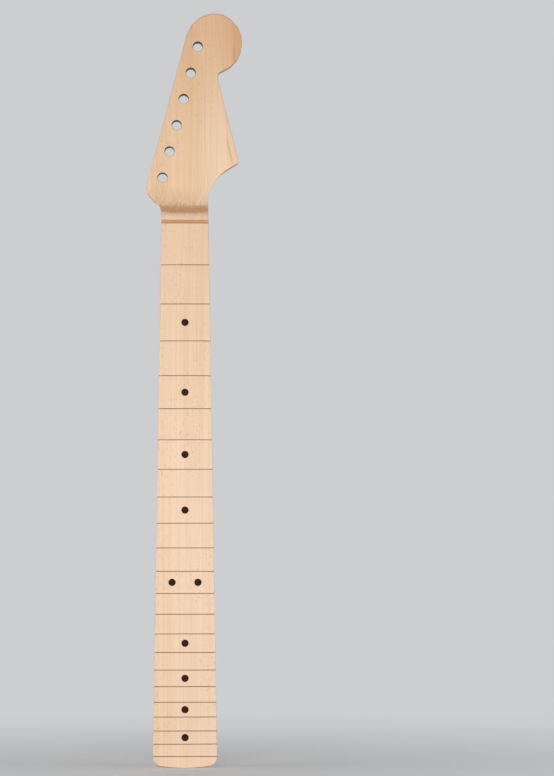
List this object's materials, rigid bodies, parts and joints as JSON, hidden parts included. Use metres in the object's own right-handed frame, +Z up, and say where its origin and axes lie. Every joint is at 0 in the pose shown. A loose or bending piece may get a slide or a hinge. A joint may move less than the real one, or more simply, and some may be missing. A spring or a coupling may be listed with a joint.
{
  "type": "electric guitar neck",
  "caption": "Bare maple bolt-on guitar neck: slotted fretboard with dots, scooped in-line headstock with tuner holes, flat heel and an internal two-way truss rod.",
  "frame": {"origin": "middle of the four neck screws, on the flat back of the heel", "axes": "+Z up the neck to the headstock, -Y out of the playing surface, +Y out of the back, +X to the treble side"},
  "size_m": [0.0845, 0.0254, 0.6624],
  "materials": {
    "neck_maple": "bare sanded maple, warm, fine straight grain with orange-brown bands on the back",
    "board_maple": "bare sanded maple, pale, fine grain",
    "dot_plastic": "black-brown inlay plastic sanded flush",
    "bar_steel": "drawn flat bar",
    "block_brass": "plain machined brass",
    "rod_steel": "drawn round bar and turned nut"
  },
  "bodies": {
    "neck": {"neck": "neck_maple", "fretboard": "board_maple", "face_dot_03": "dot_plastic", "face_dot_05": "dot_plastic", "face_dot_07": "dot_plastic", "face_dot_09": "dot_plastic", "face_dot_12_bass": "dot_plastic", "face_dot_12_treble": "dot_plastic", "face_dot_15": "dot_plastic", "face_dot_17": "dot_plastic", "face_dot_19": "dot_plastic", "face_dot_21": "dot_plastic", "side_dot_03": "dot_plastic", "side_dot_05": "dot_plastic", "side_dot_07": "dot_plastic", "side_dot_09": "dot_plastic", "side_dot_12_bass": "dot_plastic", "side_dot_12_treble": "dot_plastic", "side_dot_15": "dot_plastic", "side_dot_17": "dot_plastic", "side_dot_19": "dot_plastic", "side_dot_21": "dot_plastic", "truss_bar": "bar_steel", "truss_block_head": "block_brass", "truss_block_heel": "block_brass"},
    "truss_adjuster": {"truss_rod": "rod_steel", "truss_nut": "rod_steel"}
  },
  "joints": [
    {"name": "truss_rod_turn", "type": "hinge", "parent": "neck", "child": "truss_adjuster", "pos_m": [0, -0.01275, -0.0283], "axis": [0, 0, 1], "range_deg": [-270, 270]}
  ]
}
